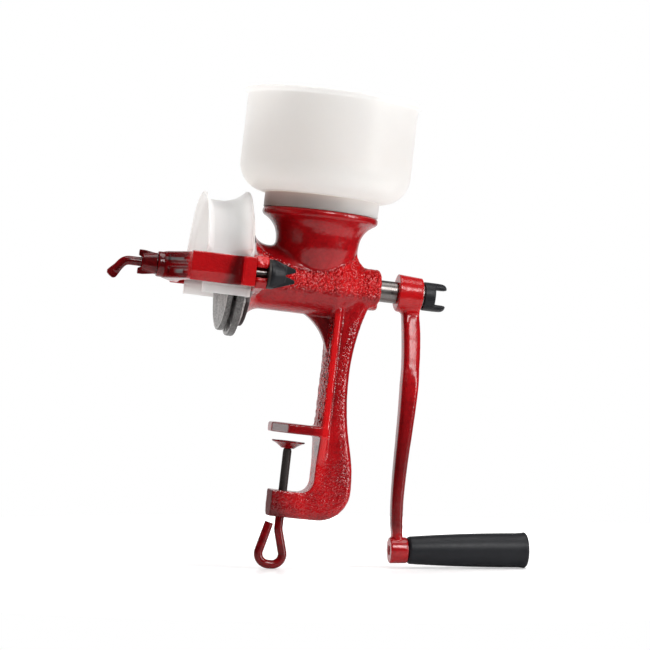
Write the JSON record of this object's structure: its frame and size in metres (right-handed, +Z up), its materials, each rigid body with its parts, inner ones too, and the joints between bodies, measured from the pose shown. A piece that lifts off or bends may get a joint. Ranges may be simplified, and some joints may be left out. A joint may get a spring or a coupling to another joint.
{
  "type": "hand crank grain mill",
  "caption": "Clamp-on cast iron hand mill for grain: a cranked auger feeds a pair of grinding plates under a plastic guard, with a lift-off plastic hopper.",
  "frame": {"origin": "underside of the upper clamp jaw, on the clamp screw's axis", "axes": "+X along the shaft towards the crank, -Y the near side of the picture, +Z up"},
  "size_m": [0.3977, 0.169, 0.4129],
  "materials": {
    "red_paint": "gloss paint over a grainy casting",
    "steel": "turned steel, oiled",
    "black_plastic": "satin moulded",
    "milky_plastic": "milky, slightly translucent",
    "raw_iron": "raw cast"
  },
  "bodies": {
    "mill_body": {"body_casting": "red_paint", "stationary_plate": "raw_iron", "stationary_plate_screws": "steel", "plate_guard": "milky_plastic", "yoke": "red_paint", "yoke_stud_near": "steel", "yoke_stud_far": "steel"},
    "thrust": {"thrust_ball": "steel"},
    "adjuster": {"adjusting_screw": "red_paint"},
    "lock_nut": {"adjusting_lock_nut": "red_paint"},
    "spindle": {"auger_shaft": "steel", "drive_pin": "steel", "rotating_plate": "raw_iron", "crank_arm": "red_paint", "grip_bolt": "steel"},
    "grip": {"grip": "black_plastic"},
    "crank_washer": {"crank_washer": "steel"},
    "crank_wing_screw": {"crank_wing_head": "black_plastic", "crank_screw_stud": "steel"},
    "clamp_pad": {"clamp_pad": "red_paint"},
    "clamp_screw": {"clamp_screw": "red_paint"},
    "yoke_washer_near": {"yoke_washer_near": "steel"},
    "yoke_wing_nut_near": {"yoke_wing_nut_near": "black_plastic"},
    "yoke_washer_far": {"yoke_washer_far": "steel"},
    "yoke_wing_nut_far": {"yoke_wing_nut_far": "black_plastic"},
    "hopper": {"hopper": "milky_plastic"}
  },
  "joints": [
    {"name": "plate_gap_slide", "type": "slide", "parent": "mill_body", "child": "thrust", "axis": [1, 0, 0], "range_m": [-0.002, 0.0029]},
    {"name": "adjusting_screw_turn", "type": "hinge", "parent": "thrust", "child": "adjuster", "pos_m": [0.005, 0, 0.132], "axis": [1, 0, 0], "range_deg": [-577, 837]},
    {"name": "crank_turn", "type": "hinge", "parent": "thrust", "child": "spindle", "pos_m": [0.005, 0, 0.132], "axis": [1, 0, 0], "continuous": true},
    {"name": "grip_turn", "type": "hinge", "parent": "spindle", "child": "grip", "pos_m": [0.10725, 0, -0.091], "axis": [0.9945, 0, 0.1045], "continuous": true},
    {"name": "lock_nut_turn", "type": "hinge", "parent": "mill_body", "child": "lock_nut", "pos_m": [0.005, 0, 0.132], "axis": [1, 0, 0], "range_deg": [-120, 0]},
    {"name": "crank_washer_slide", "type": "slide", "parent": "spindle", "child": "crank_washer", "axis": [1, 0, 0], "range_m": [0, 0.006]},
    {"name": "crank_wing_screw_turn", "type": "hinge", "parent": "crank_washer", "child": "crank_wing_screw", "pos_m": [0.005, 0, 0.132], "axis": [1, 0, 0], "range_deg": [0, 1730]},
    {"name": "clamp_pad_slide", "type": "slide", "parent": "mill_body", "child": "clamp_pad", "axis": [0, 0, 1], "range_m": [-0.035, 0.004]},
    {"name": "clamp_screw_turn", "type": "hinge", "parent": "clamp_pad", "child": "clamp_screw", "pos_m": [0, 0, 0], "axis": [0, 0, 1], "range_deg": [-10082, 1153]},
    {"name": "near_washer_slide", "type": "slide", "parent": "mill_body", "child": "yoke_washer_near", "axis": [1, 0, 0], "range_m": [0, 0.004]},
    {"name": "near_wing_nut_turn", "type": "hinge", "parent": "yoke_washer_near", "child": "yoke_wing_nut_near", "pos_m": [0.005, -0.072, 0.132], "axis": [1, 0, 0], "range_deg": [0, 1153]},
    {"name": "far_washer_slide", "type": "slide", "parent": "mill_body", "child": "yoke_washer_far", "axis": [1, 0, 0], "range_m": [0, 0.004]},
    {"name": "far_wing_nut_turn", "type": "hinge", "parent": "yoke_washer_far", "child": "yoke_wing_nut_far", "pos_m": [0.005, 0.072, 0.132], "axis": [1, 0, 0], "range_deg": [0, 1153]},
    {"name": "hopper_lift", "type": "slide", "parent": "mill_body", "child": "hopper", "axis": [0, 0, 1], "range_m": [0, 0.05]}
  ],
  "couplings": [
    {"joint": "adjusting_screw_turn", "follows": "plate_gap_slide", "rad_per_m": 5026.5},
    {"joint": "crank_wing_screw_turn", "follows": "crank_washer_slide", "rad_per_m": 5026.5},
    {"joint": "clamp_screw_turn", "follows": "clamp_pad_slide", "rad_per_m": 5026.5},
    {"joint": "near_wing_nut_turn", "follows": "near_washer_slide", "rad_per_m": 5026.5},
    {"joint": "far_wing_nut_turn", "follows": "far_washer_slide", "rad_per_m": 5026.5}
  ]
}
